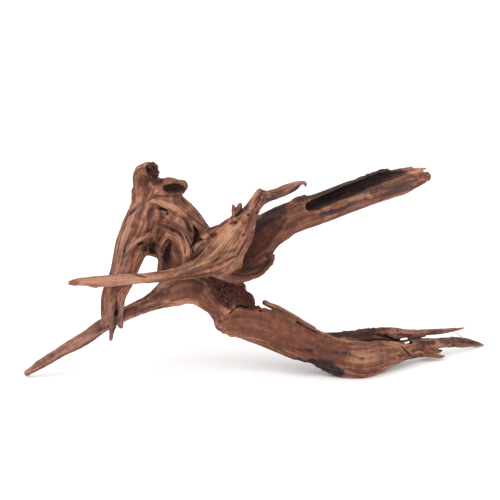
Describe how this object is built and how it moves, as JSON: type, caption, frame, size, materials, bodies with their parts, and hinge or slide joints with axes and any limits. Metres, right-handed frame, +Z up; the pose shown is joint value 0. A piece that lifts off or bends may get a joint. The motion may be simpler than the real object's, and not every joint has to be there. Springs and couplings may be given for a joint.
{
  "type": "piece of driftwood",
  "caption": "Branching root of weathered driftwood that stands on its own: an arched trunk, a long toe, a thin pointer, a hollow branch and a broad splintered root.",
  "frame": {"origin": "centre of the bounding box in X and Y, on the ground plane the piece stands on", "axes": "+X from the tip of the long toe towards the splintered tip of the broad root; +Z up; -Y faces the viewer, on the side of the pointer"},
  "size_m": [0.47, 0.1376, 0.2088],
  "materials": {
    "weathered_wood": "dry, matt, weathered grain"
  },
  "bodies": {
    "root": {"driftwood": "weathered_wood"}
  },
  "joints": []
}
